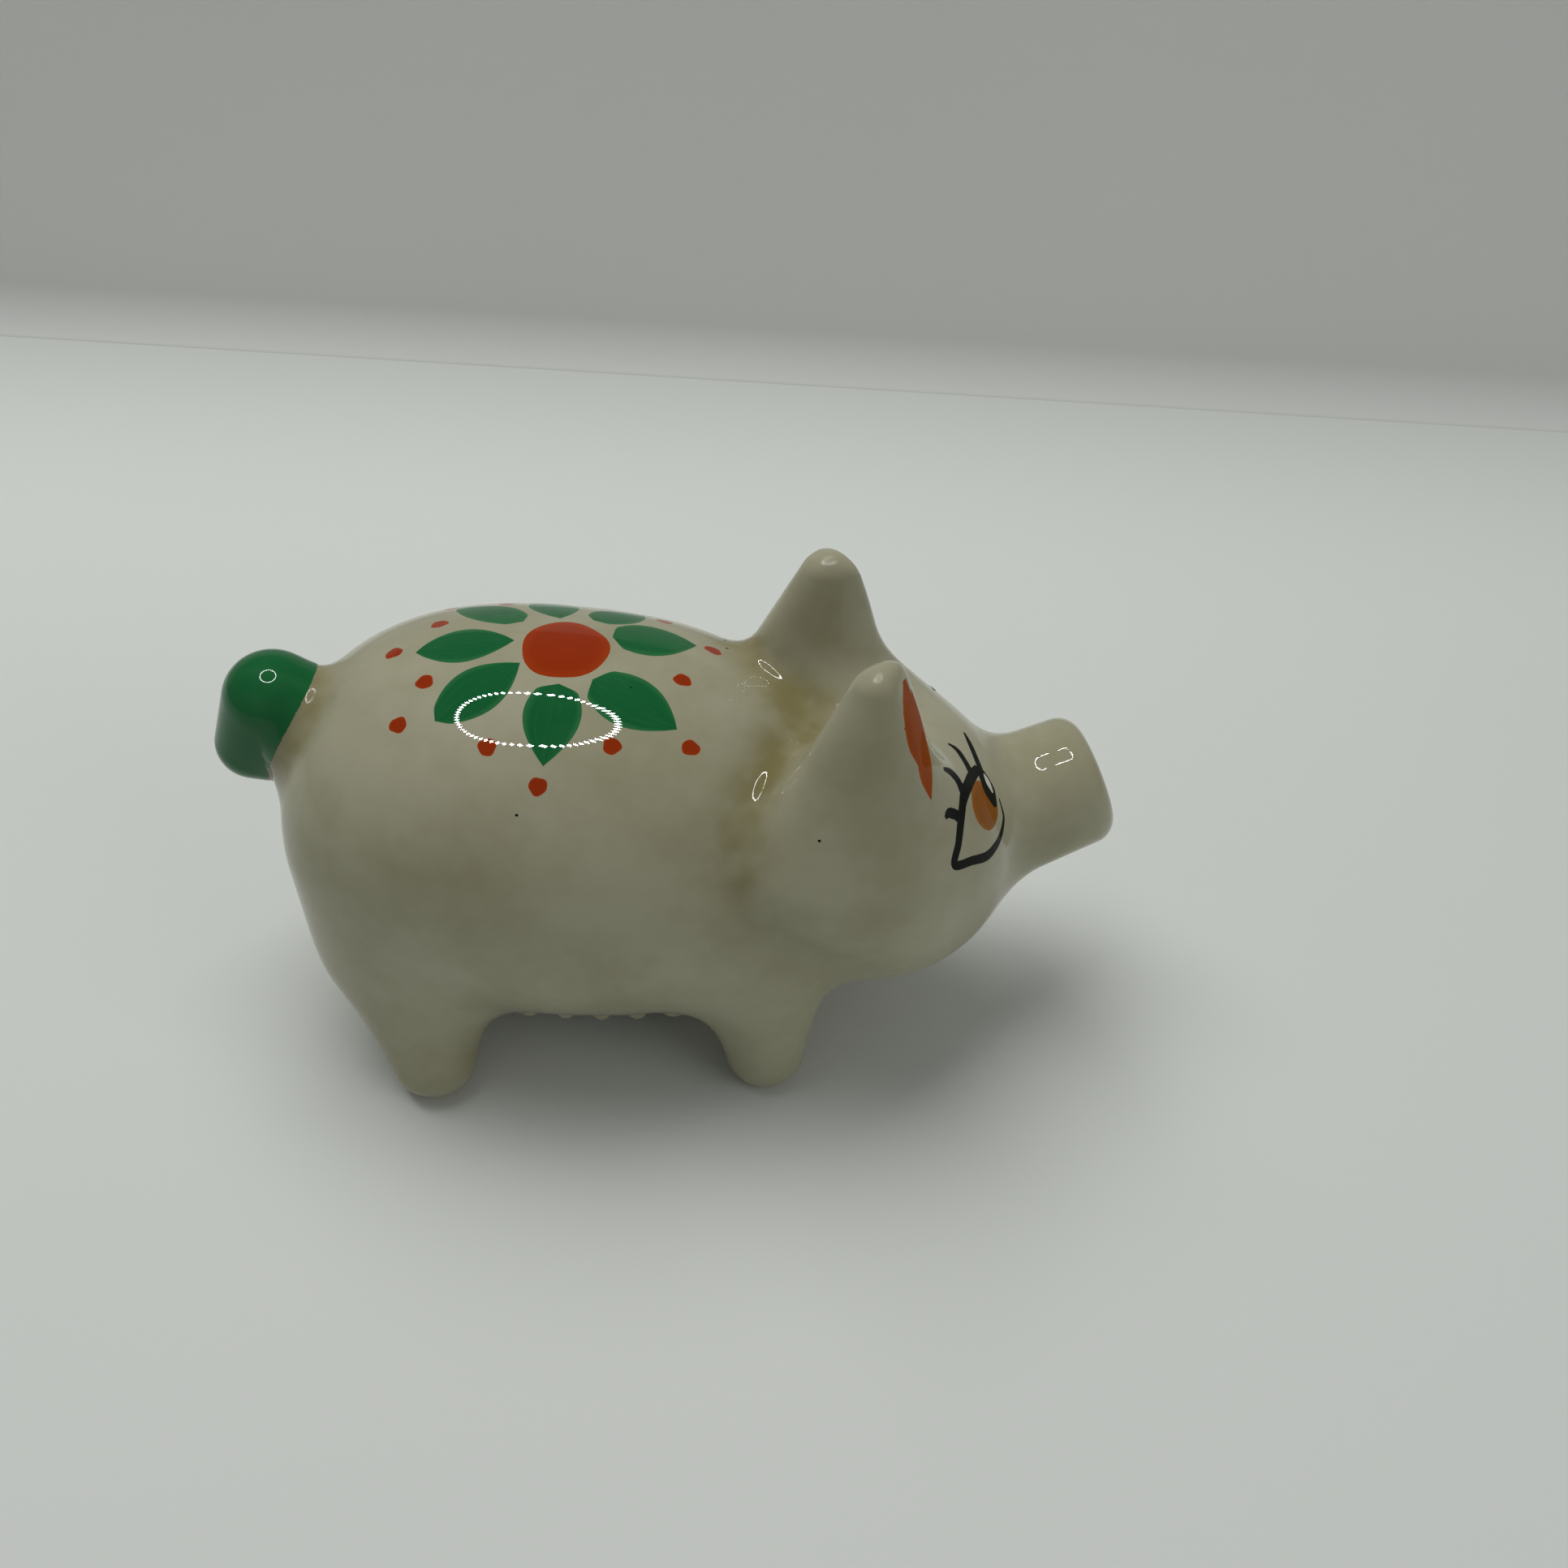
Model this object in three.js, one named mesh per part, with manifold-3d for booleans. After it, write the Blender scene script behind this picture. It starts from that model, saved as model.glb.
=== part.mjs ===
// A small hand-painted ceramic piggy bank: a hollow cast torso and head, with a snout, ears, legs,
// tail and teats luted on, and a soft stopper in the belly. Millimetres, +Z up, +X to the snout,
// +Y to the pig's left. The pieces are the ones that the potter joins with slip before firing.
import * as THREE from 'three';
import { mergeVertices } from 'three/addons/utils/BufferGeometryUtils.js';
import Module from 'manifold-3d';

// ---------------------------------------------------------------- driving dimensions
const WALL = 3.0; // thickness of the cast clay
const GAP = 0.3; // slip joint between two luted pieces
const EDGE = 200; // size of the boxes that cut a flat face

const TORSO = {
  centre: [0, 0, 26.4],
  length: 60, // along the barrel
  diameter: 46.2,
  bluntness: 2.43, // exponent of the barrel's outline: 2 is an ellipse, more is a fuller barrel
  droop: 2.8, // degrees that the barrel's front hangs down
  neckHole: 20, // diameter of the way from the torso into the head
};
const HEAD = {
  centre: [35.1, 0, 25.5],
  size: [34.2, 35.2, 33.4],
  yaw: 14.5, // degrees that the head is turned to the pig's left
  pitch: 7.0, // degrees that the snout is lifted
};
const SNOUT = {
  root: [6.0, 0, -3.9], // in the head's frame, inside the head
  end: [27.3, 0, 0.8],
  rootRadius: 8.8,
  waistRadius: 7.9,
  discRadius: 7.5,
  rim: 2.2, // rounding of the disc's edge
  nostril: { radius: 1.5, depth: 1.6, spacing: 5.6 },
};
const EAR = {
  base: [-4.6, 11.4, 7.8], // left ear, in the head's frame
  tip: [0.5, 10.2, 29.5],
  baseRadius: 7.8,
  tipRadius: 2.8,
  stretch: 1.4, // front to back, against side to side
  face: [0.8, 0.45, 0.33], // where the flat painted front looks
  faceSetback: 2.2, // from the tip's front edge to the flat front
};
const LEGS = {
  front: { top: [24.4, 12.3, 17.0], foot: [24.6, 14.8, 0], topRadius: 6.7, footRadius: 4.7 },
  rear: { top: [-16.8, 11.8, 15.0], foot: [-13.2, 18.4, 0], topRadius: 7.5, footRadius: 4.9 },
  ground: 0.8, // height ground off each rounded foot
};
const TAIL = {
  knots: [[-26, 0, 34], [-29.8, 0, 40.8], [-32.9, -0.4, 35.0]],
  radii: [5.0, 5.3, 4.1],
};
const TEATS = { count: 5, first: -2.4, pitch: 4.1, aside: 14.6, radius: 1.3 };
const SLOT = { centre: [2.0, 37.2], length: 27, width: 4.4, depth: 20 };
const STOPPER = { x: 5.8, holeRadius: 8.4, taper: 0.6, bottom: 2.3, height: 6.4, chamfer: 0.5 };

// Facets of each turned shape: steps along its profile, and round its axis.
const FACETS = {
  barrel: [18, 24],
  chamber: [12, 20],
  skull: [14, 22],
  brain: [10, 16],
  snout: [5, 18],
  ear: [5, 18],
  limb: [4, 14],
  tail: [4, 12],
  nostril: [2, 8],
  teat: [6, 8],
  round: 24,
};

const COLOURS = { glaze: '#cfcbb2', green: '#1f7a45', rubber: '#3a3632' };

// ---------------------------------------------------------------- geometry helpers
const wasm = await Module();
wasm.setup();
const vector = (point) => new THREE.Vector3(...point);
const radians = THREE.MathUtils.degToRad;
const mirrored = ([x, y, z], side) => [x, y * side, z];

// A closed three.js geometry as a solid that can be joined and cut.
function solid(geometry) {
  const bare = geometry.clone();
  bare.deleteAttribute('normal');
  bare.deleteAttribute('uv');
  const merged = mergeVertices(bare, 1e-4);
  return new wasm.Manifold(new wasm.Mesh({
    numProp: 3,
    vertProperties: new Float32Array(merged.attributes.position.array),
    triVerts: new Uint32Array(merged.index.array),
  }));
}

// A solid as a named mesh, with its own origin at the given point of its parent's frame.
function piece(name, body, origin, colour, roughness = 0.18) {
  const { vertProperties, triVerts } = body.getMesh();
  const geometry = new THREE.BufferGeometry();
  geometry.setAttribute('position', new THREE.BufferAttribute(Float32Array.from(vertProperties), 3));
  geometry.setIndex(new THREE.BufferAttribute(Uint32Array.from(triVerts), 1));
  geometry.translate(...vector(origin).negate().toArray());
  geometry.computeVertexNormals();
  const material = new THREE.MeshStandardMaterial({ color: colour, roughness, metalness: 0 });
  const mesh = new THREE.Mesh(geometry, material);
  mesh.name = name;
  mesh.position.set(...origin);
  return mesh;
}

// Turns a profile of [radius, height] pairs about the line from one point to another.
function turned(profile, from, to, segments) {
  const geometry = new THREE.LatheGeometry(profile.map(([r, h]) => new THREE.Vector2(r, h)), segments);
  const axis = vector(to).sub(vector(from)).normalize();
  geometry.applyQuaternion(new THREE.Quaternion().setFromUnitVectors(new THREE.Vector3(0, 1, 0), axis));
  return geometry.translate(...from);
}

// Outline of two balls and the cone that is tangent to both, a distance apart.
function roundConeProfile(firstRadius, lastRadius, distance, arcSteps) {
  const lean = Math.asin((firstRadius - lastRadius) / distance);
  const arc = (radius, height, start, end) => Array.from({ length: arcSteps + 1 }, (_, i) => {
    const angle = start + ((end - start) * i) / arcSteps;
    return [Math.max(radius * Math.cos(angle), 0), height + radius * Math.sin(angle)];
  });
  const profile = [
    ...arc(firstRadius, 0, -Math.PI / 2, lean),
    ...arc(lastRadius, distance, lean, Math.PI / 2),
  ];
  profile[0][0] = 0;
  profile[profile.length - 1][0] = 0;
  return profile;
}

function roundCone(from, to, firstRadius, lastRadius, [arcSteps, segments]) {
  const distance = vector(from).distanceTo(vector(to));
  return turned(roundConeProfile(firstRadius, lastRadius, distance, arcSteps), from, to, segments);
}

// Superellipse turned about X: |x/a|^n + (r/b)^n = 1, in the torso's place.
function barrel(grow, [steps, segments] = FACETS.barrel) {
  const halfLength = TORSO.length / 2 + grow;
  const radius = TORSO.diameter / 2 + grow;
  const power = 2 / TORSO.bluntness;
  const profile = Array.from({ length: steps + 1 }, (_, i) => {
    const angle = Math.PI * (i / steps - 0.5);
    const along = Math.sign(Math.sin(angle)) * Math.abs(Math.sin(angle)) ** power;
    return [i % steps === 0 ? 0 : radius * Math.cos(angle) ** power, halfLength * along];
  });
  const geometry = turned(profile, [0, 0, 0], [1, 0, 0], segments);
  return geometry.rotateY(radians(TORSO.droop)).translate(...TORSO.centre);
}

// Ellipsoid of the head, in the head's own frame.
function skull(grow, [across, around] = FACETS.skull) {
  const [x, y, z] = HEAD.size.map((side) => side / 2 + grow);
  return new THREE.SphereGeometry(1, around, across).rotateX(Math.PI / 2).scale(x, y, z);
}

// Box whose near face passes through a point and looks along a direction away from the box.
function halfSpace(point, outward) {
  const normal = vector(outward).normalize();
  const box = new THREE.BoxGeometry(EDGE, EDGE, EDGE).translate(0, 0, EDGE / 2);
  box.applyQuaternion(new THREE.Quaternion().setFromUnitVectors(new THREE.Vector3(0, 0, 1), normal));
  return box.translate(...point);
}

// ---------------------------------------------------------------- frames
const pig = new THREE.Group();
const headGroup = new THREE.Group();
headGroup.position.set(...HEAD.centre);
headGroup.rotation.set(0, -radians(HEAD.pitch), radians(HEAD.yaw), 'ZYX');
headGroup.updateMatrix();
pig.add(headGroup);
const intoHead = headGroup.matrix.clone().invert();

const torsoCutter = solid(barrel(GAP));
const torsoCutterInHead = solid(barrel(GAP).applyMatrix4(intoHead));
const skullCutterInHead = solid(skull(GAP));
const skullCutter = solid(skull(GAP).applyMatrix4(headGroup.matrix));

// ---------------------------------------------------------------- torso
function torsoShell() {
  const slot = new THREE.BoxGeometry(SLOT.length, SLOT.depth, SLOT.width)
    .translate(SLOT.centre[0], TORSO.diameter / 2, SLOT.centre[1]);
  const neckHole = turned(
    [[0, 0], [TORSO.neckHole / 2, 0], [TORSO.neckHole / 2, EDGE / 4], [0, EDGE / 4]],
    TORSO.centre, HEAD.centre, FACETS.round,
  );
  const shell = solid(barrel(0))
    .subtract(solid(barrel(-WALL, FACETS.chamber)))
    .subtract(solid(slot))
    .subtract(solid(neckHole))
    .subtract(solid(bung(GAP, 1)));
  return piece('torso_shell', shell, TORSO.centre, COLOURS.glaze);
}

// Tapered plug, wider below, that can be grown into the cutter of its own hole.
function bung(grow, overshoot) {
  const low = STOPPER.holeRadius - GAP + grow;
  const high = low - STOPPER.taper;
  const chamfer = overshoot > 0 ? 0 : STOPPER.chamfer;
  const top = STOPPER.height + overshoot;
  const profile = [[0, -overshoot], [low - chamfer, -overshoot], [low, chamfer - overshoot],
    [high, top - chamfer], [high - chamfer, top], [0, top]];
  const kept = chamfer > 0 ? profile : profile.filter((_, i) => i !== 2 && i !== 4);
  return turned(kept, [STOPPER.x, 0, STOPPER.bottom], [STOPPER.x, 0, EDGE], FACETS.round);
}

// ---------------------------------------------------------------- head
function headShell() {
  const shell = solid(skull(0))
    .subtract(solid(skull(-WALL, FACETS.brain)))
    .subtract(torsoCutterInHead);
  return piece('head_shell', shell, [0, 0, 0], COLOURS.glaze);
}

function snout() {
  const { root, end, rootRadius, waistRadius, discRadius, rim, nostril } = SNOUT;
  const length = vector(root).distanceTo(vector(end));
  const waist = new THREE.QuadraticBezierCurve(
    new THREE.Vector2(rootRadius, 0),
    new THREE.Vector2(waistRadius - 0.4, length * 0.5),
    new THREE.Vector2(discRadius, length - rim),
  );
  const rounding = Array.from({ length: 4 }, (_, i) => {
    const angle = ((i + 1) / 4) * (Math.PI / 2);
    return [discRadius - rim + rim * Math.cos(angle), length - rim + rim * Math.sin(angle)];
  });
  const profile = [[0, 0], ...waist.getPoints(FACETS.snout[0]).map((p) => [p.x, p.y]), ...rounding, [0, length]];
  let body = solid(turned(profile, root, end, FACETS.snout[1])).subtract(skullCutterInHead);
  const axis = vector(end).sub(vector(root)).normalize();
  for (const side of [1, -1]) {
    const mouth = vector(end).add(new THREE.Vector3(0, side * nostril.spacing / 2, 0));
    const floor = mouth.clone().addScaledVector(axis, -nostril.depth);
    const hole = roundCone(
      floor.toArray(), mouth.clone().addScaledVector(axis, nostril.depth).toArray(),
      nostril.radius * 0.8, nostril.radius, FACETS.nostril,
    );
    body = body.subtract(solid(hole));
  }
  return piece('snout', body, end, COLOURS.glaze);
}

// Stretched round cone with a flat front, trimmed where it sits on the head and the torso.
function ear(name, side) {
  const { base, tip, baseRadius, tipRadius, stretch, face, faceSetback } = EAR;
  const narrowTip = [base[0] + (tip[0] - base[0]) / stretch, tip[1], tip[2]];
  const cone = roundCone(base, narrowTip, baseRadius, tipRadius, FACETS.ear);
  cone.translate(-base[0], 0, 0).scale(stretch, 1, 1).translate(base[0], 0, 0);
  const normal = vector(face).normalize();
  const onFace = vector(tip).add(new THREE.Vector3(tipRadius * stretch - faceSetback, 0, 0));
  let body = solid(cone).subtract(solid(halfSpace(onFace.toArray(), normal.toArray())));
  if (side < 0) body = body.mirror([0, 1, 0]);
  body = body.subtract(skullCutterInHead).subtract(torsoCutterInHead);
  return piece(name, body, mirrored(tip, side), COLOURS.glaze);
}

// ---------------------------------------------------------------- limbs, tail and teats
function leg(name, limb, side) {
  const ankle = [limb.foot[0], limb.foot[1], limb.footRadius - LEGS.ground];
  const cone = roundCone(
    mirrored(limb.top, side), mirrored(ankle, side), limb.topRadius, limb.footRadius, FACETS.limb,
  );
  const body = solid(cone)
    .subtract(solid(halfSpace([0, 0, 0], [0, 0, -1])))
    .subtract(torsoCutter)
    .subtract(skullCutter);
  return piece(name, body, mirrored(limb.foot, side), COLOURS.glaze);
}

function tail() {
  const { knots, radii } = TAIL;
  const lumps = [0, 1].map((i) => solid(
    roundCone(knots[i], knots[i + 1], radii[i], radii[i + 1], FACETS.tail),
  ));
  return piece('tail', lumps[0].add(lumps[1]).subtract(torsoCutter), knots[1], COLOURS.green);
}

// Height of the torso's underside at a place beside its axis.
function undersideAt(x, y) {
  const fromCentre = x - TORSO.centre[0];
  const along = Math.abs(fromCentre) / (TORSO.length / 2);
  const radius = (TORSO.diameter / 2) * (1 - along ** TORSO.bluntness) ** (1 / TORSO.bluntness);
  return TORSO.centre[2] - Math.tan(radians(TORSO.droop)) * fromCentre - Math.sqrt(radius ** 2 - y ** 2);
}

function teat(name, index, side) {
  const x = TEATS.first + index * TEATS.pitch;
  const y = side * TEATS.aside;
  const centre = [x, y, undersideAt(x, y) - GAP];
  const bead = new THREE.SphereGeometry(TEATS.radius, FACETS.teat[1], FACETS.teat[0]).translate(...centre);
  return piece(name, solid(bead).subtract(torsoCutter), centre, COLOURS.glaze);
}

// ---------------------------------------------------------------- assembly
headGroup.add(headShell(), snout());
pig.add(torsoShell(), tail());
for (const [sideName, side] of [['right', -1], ['left', 1]]) {
  headGroup.add(ear(`ear_${sideName}`, side));
  pig.add(leg(`leg_front_${sideName}`, LEGS.front, side));
  pig.add(leg(`leg_rear_${sideName}`, LEGS.rear, side));
  for (let i = 0; i < TEATS.count; i += 1) pig.add(teat(`teat_${sideName}_${i + 1}`, i, side));
}
const plug = [STOPPER.x, 0, STOPPER.bottom];
pig.add(piece('stopper', solid(bung(0, 0)), plug, COLOURS.rubber, 0.6));

// The pig stands with the middle of its box over the origin.
const box = new THREE.Box3().setFromObject(pig, true);
pig.position.set(-(box.min.x + box.max.x) / 2, -(box.min.y + box.max.y) / 2, 0);
const group = new THREE.Group();
group.add(pig);
export default group;
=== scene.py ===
# %% [markdown]
# # A hand-painted pottery piggy bank
#
# A small cast money box in ivory-glazed clay, painted by hand with a green and orange
# flower, green tail, orange ears and long-lashed eyes, and closed by a stopper in the
# belly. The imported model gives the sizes. This file gives the pottery its real skin:
# one glazed surface without seams, with the paint lying on it in thin films.

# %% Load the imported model
import math

import bpy
import numpy as np
from mathutils import Matrix, Vector


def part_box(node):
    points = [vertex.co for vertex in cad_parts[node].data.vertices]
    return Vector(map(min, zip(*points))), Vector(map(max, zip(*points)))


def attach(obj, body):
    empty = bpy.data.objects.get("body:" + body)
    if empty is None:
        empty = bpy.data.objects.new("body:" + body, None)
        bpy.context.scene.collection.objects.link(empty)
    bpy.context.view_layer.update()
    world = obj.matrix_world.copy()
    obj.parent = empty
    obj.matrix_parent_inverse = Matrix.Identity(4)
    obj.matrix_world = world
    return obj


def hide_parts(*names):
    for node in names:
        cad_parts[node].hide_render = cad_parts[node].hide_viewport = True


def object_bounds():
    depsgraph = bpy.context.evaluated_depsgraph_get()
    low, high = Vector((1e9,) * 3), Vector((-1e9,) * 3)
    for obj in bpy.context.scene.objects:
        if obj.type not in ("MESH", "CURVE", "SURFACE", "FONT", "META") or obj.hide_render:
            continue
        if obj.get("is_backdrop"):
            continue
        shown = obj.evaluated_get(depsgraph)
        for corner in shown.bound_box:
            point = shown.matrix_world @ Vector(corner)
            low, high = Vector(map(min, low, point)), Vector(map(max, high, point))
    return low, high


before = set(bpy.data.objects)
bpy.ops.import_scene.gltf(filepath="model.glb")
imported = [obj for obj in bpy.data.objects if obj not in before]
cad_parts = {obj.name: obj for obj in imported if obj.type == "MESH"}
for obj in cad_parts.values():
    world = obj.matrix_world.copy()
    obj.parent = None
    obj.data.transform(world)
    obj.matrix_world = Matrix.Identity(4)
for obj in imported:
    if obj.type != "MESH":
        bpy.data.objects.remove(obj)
cad_low, cad_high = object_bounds()
print("CAD box in mm:", [round(1000 * side, 2) for side in cad_high - cad_low])

# %% [markdown]
# The potter's drawing has its origin under the middle of the body, in millimetres. The
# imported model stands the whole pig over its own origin, in metres. The stopper's place
# is known in both, so it gives the shift between them. The alternative, to retype every
# size in metres, would hide which numbers come from the drawing.

# %% From the drawing to the model
MM = 0.001
STOPPER_X = 5.8
stopper_low, stopper_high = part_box("stopper")
SHIFT = STOPPER_X - 500 * (stopper_low.x + stopper_high.x)


def placed(points):
    """Drawing points in mm become model points in m: less the shift along x, times 0.001."""
    return (np.asarray(points, float) - (SHIFT, 0, 0)) * MM


def drawn(point):
    """A model point in m becomes a drawing point in mm."""
    return np.array(point) / MM + (SHIFT, 0, 0)


print("drawing lies", round(SHIFT, 3), "mm ahead of the model")

# %% [markdown]
# ## Camera
# A person bending over a table sees the pig from above and from its right side. The
# camera is placed by angles and a distance from a point between body and head, which
# is easier to read and to change than a matrix of numbers.

# %% Camera
VIEW = {"look_at": (25.47, 7.38, 25.0), "distance": 185.0, "elevation": 42.29,
        "azimuth": 0.64, "roll": 2.15, "lens": 36.056, "sensor": 36.0}


def view_axes(elevation, azimuth, roll):
    """Right, up and back of a camera that looks down by elevation, from the azimuth, rolled."""
    back = Vector((math.sin(azimuth) * math.cos(elevation),
                   -math.cos(azimuth) * math.cos(elevation), math.sin(elevation)))
    right = Vector((math.cos(azimuth), math.sin(azimuth), 0))
    up = back.cross(right)
    rolled_right = math.cos(roll) * right + math.sin(roll) * up
    return rolled_right, back.cross(rolled_right), back


right, up, back = view_axes(*(math.radians(VIEW[k]) for k in ("elevation", "azimuth", "roll")))
camera = bpy.data.objects.new("camera", bpy.data.cameras.new("camera"))
camera.data.lens, camera.data.sensor_width = VIEW["lens"], VIEW["sensor"]
camera.data.clip_start = 0.01
eye_point = Vector(placed(VIEW["look_at"])) + back * VIEW["distance"] * MM
camera.matrix_world = Matrix((right, up, back)).transposed().to_4x4()
camera.matrix_world.translation = eye_point
bpy.context.scene.collection.objects.link(camera)
bpy.context.scene.camera = camera
print("camera stands at", [round(1000 * value) for value in eye_point], "mm")

# %% [markdown]
# ## Shader arithmetic
# A finish is a sum of simple patterns: a cloud of tone, a speck, a stain. Written as
# Python sums they stay readable, so one small class lets the signs +, - and * add Math nodes.

# %% Shader arithmetic
class Shade:
    """A socket whose value changes over a surface. The signs +, - and * on it add Math nodes."""

    def __init__(self, tree, socket):
        self.tree, self.socket = tree, socket

    def node(self, kind, settings=None, sockets=None, output=0):
        """Adds a node: first its settings, then values or links for its sockets."""
        new = self.tree.nodes.new(kind)
        for name, value in (settings or {}).items():
            setattr(new, name, value)
        for key, value in (sockets or {}).items():
            if isinstance(value, Shade):
                self.tree.links.new(value.socket, new.inputs[key])
            else:
                new.inputs[key].default_value = value
        return Shade(self.tree, new.outputs[output])

    def math(self, operation, first, second=0.0):
        return self.node("ShaderNodeMath", {"operation": operation}, {0: first, 1: second})

    def __add__(self, other):
        return self.math("ADD", self, other)

    def __radd__(self, other):
        return self.math("ADD", other, self)

    def __rsub__(self, other):
        return self.math("SUBTRACT", other, self)

    def __mul__(self, other):
        return self.math("MULTIPLY", self, other)

    def __rmul__(self, other):
        return self.math("MULTIPLY", other, self)

print("shader arithmetic ready")

# %% [markdown]
# The same few patterns serve every finish, so they are functions: a soft cloud, a step
# with a soft edge, a mix of two colours, and a colour written as the eye names it.

# %% Patterns shared by the finishes
def colour(red, green, blue):
    """Linear colour of a display colour from 0 to 255: ((c + 0.055) / 1.055) ** 2.4."""
    curve = [((value / 255 + 0.055) / 1.055) ** 2.4 if value > 10 else value / 255 / 12.92
             for value in (red, green, blue)]
    return (*curve, 1.0)


def cloud(place, scale, detail=2.0, roughness=0.5):
    """Soft noise from 0 to 1, with about scale lumps in a metre."""
    return place.node("ShaderNodeTexNoise", {}, {"Vector": place, "Scale": scale,
                                                 "Detail": detail, "Roughness": roughness})


def ramp(value, low, high):
    """0 below low, 1 above high, an s-curve between. Low may be the larger of the two."""
    return value.node("ShaderNodeMapRange", {"interpolation_type": "SMOOTHSTEP"},
                      {"Value": value, "From Min": low, "From Max": high})


def blended(amount, under, over):
    """The under colour where amount is 0, and the over colour where it is 1."""
    return amount.node("ShaderNodeMix", {"data_type": "RGBA"},
                       {0: amount, 6: under, 7: over}, output=2)


def finish_on(name, **constants):
    """A new material: its main shader with constants on its sockets, and object coordinates."""
    material = bpy.data.materials.new(name)
    material.use_nodes = True
    shader = material.node_tree.nodes["Principled BSDF"]
    for socket, value in constants.items():
        shader.inputs[socket.replace("_", " ")].default_value = value
    source = material.node_tree.nodes.new("ShaderNodeTexCoord")
    return material, shader, Shade(material.node_tree, source.outputs["Object"])


def feed(shader, **sockets):
    """Links varying values to the sockets of the main shader."""
    for name, value in sockets.items():
        value.tree.links.new(value.socket, shader.inputs[name.replace("_", " ")])


print("patterns ready")

# %% [markdown]
# ## The glaze
# An ivory lead-type glaze over pale clay. It breaks slightly in tone, carries a few
# iron specks, and is wiped off the soles so that the pig doesn't stick to the kiln shelf.
# In the joins of tail, ears and neck the colour turns a darker yellow-olive. This is
# painted shade where the joins fall in shadow, together with glaze that pools there. The
# joins can't be found from place alone, so the skin carries this darkening as an
# attribute. Gloss comes from a clear coat over a matt base. Clouds, patches and specks
# are sized by how many of them there are in a metre.

# %% Ivory glaze
# The yellow-olive colour of the joins is painted shade where they fall in shadow, together with
# pooled glaze.
GLAZE = {"light": colour(175, 172, 146), "dark": colour(157, 153, 124),
         "pooled_glaze_and_shade": colour(122, 112, 62), "speck": colour(60, 44, 26), "clay": colour(196, 180, 150)}
PER_METRE = {"clouds": 60.0, "patches": 210.0, "specks": 75.0, "ripples": 90.0}
RIPPLE = {"Strength": 0.05, "Distance": 0.0003}
SOLE = 0.0007
GLOSS = {"Specular_IOR_Level": 0.0, "Coat_Roughness": 0.006, "Coat_IOR": 1.36}


def attribute(place, name):
    """The value of a named attribute of the mesh."""
    return place.node("ShaderNodeAttribute", {"attribute_name": name}, output=2)


def rippled(place):
    """The faint unevenness of a glaze that ran in the kiln: a bump from one soft cloud."""
    height = cloud(place, PER_METRE["ripples"], 1.0)
    return place.node("ShaderNodeBump", {}, {"Height": height, **RIPPLE})


def ivory_glaze():
    material, shader, place = finish_on("ivory_glaze", Coat_Weight=1.0, **GLOSS)
    clouds = ramp(cloud(place, PER_METRE["clouds"], 4.0, 0.6), 0.3, 0.7)
    tone = blended(clouds, GLAZE["dark"], GLAZE["light"])
    patchy = ramp(cloud(place, PER_METRE["patches"]), 0.3, 0.7)
    # Near a join the tone turns yellow-olive: painted shade in the join, together with pooled
    # glaze.
    pooled_glaze_and_shade = ramp(attribute(place, "pool_and_shade") * (0.7 + 0.5 * patchy), 0.02, 1.0)
    tone = blended(pooled_glaze_and_shade * 0.85, tone, GLAZE["pooled_glaze_and_shade"])
    cell = {"Vector": place, "Scale": PER_METRE["specks"]}
    from_middle = place.node("ShaderNodeTexVoronoi", {}, cell)
    draw = place.node("ShaderNodeTexVoronoi", {}, cell, output=1)
    chosen = ramp(place.node("ShaderNodeSeparateColor", {}, {"Color": draw}), 0.80, 0.84)
    tone = blended(ramp(from_middle, 0.020, 0.010) * chosen * 0.85, tone, GLAZE["speck"])
    height = place.node("ShaderNodeSeparateXYZ", {}, {"Vector": place}, output=2)
    bare = ramp(height, SOLE, 0.5 * SOLE)
    tone = blended(bare, tone, GLAZE["clay"])
    feed(shader, Base_Color=tone, Roughness=0.14 + 0.10 * patchy + 0.5 * bare,
         Coat_Weight=1.0 - bare, Normal=rippled(place))
    return material


glaze = ivory_glaze()
print("glaze has", len(glaze.node_tree.nodes), "nodes")

# %% [markdown]
# ## The enamels
# The painter's colours are opaque glassy enamels. A loaded brush leaves them darker
# along the middle of a stroke and thin and lighter at its rim, with faint streaks along
# it. Each painted film carries three attributes, along and across the brush's way and
# towards its rim, from which one recipe makes every colour.

# %% Enamel paint
def enamel(name, full, thin, streaks=0.15, gloss=1.0):
    """Paint that is full in the middle of a stroke and thin at its rim, with streaks along it."""
    material, shader, place = finish_on(name, Coat_Weight=gloss, **GLOSS)
    along, across = attribute(place, "along"), attribute(place, "across")
    stroke = place.node("ShaderNodeCombineXYZ", {}, {"X": along * 1.6, "Y": across * 5.0})
    streak = cloud(stroke, 1.0, 2.0, 0.6)
    rim = ramp(attribute(place, "rim"), 0.70, 1.0)
    patch = ramp(cloud(place, 160.0), 0.45, 0.8)
    thinness = rim * 0.5 + ramp(streak, 0.45, 0.75) * streaks + patch * 0.2
    feed(shader, Base_Color=blended(thinness, full, thin), Roughness=0.14 + 0.12 * streak,
         Normal=rippled(place))
    return material


green = enamel("green_enamel", colour(16, 98, 50), colour(60, 126, 76))
orange = enamel("orange_enamel", colour(152, 46, 0), colour(170, 62, 8), 0.12)
ear_orange = enamel("ear_enamel", colour(156, 66, 0), colour(184, 100, 6), 0.25, 0.25)
ochre = enamel("ochre_enamel", colour(142, 82, 12), colour(160, 104, 38), 0.25, 0.5)
black = enamel("black_enamel", colour(11, 14, 10), colour(36, 39, 32), 0.1, 0.4)
white = enamel("white_highlight", colour(214, 214, 204), colour(170, 172, 162), 0.2)
print("enamels:", [m.name for m in (green, orange, ear_orange, ochre, black, white)])

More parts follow.
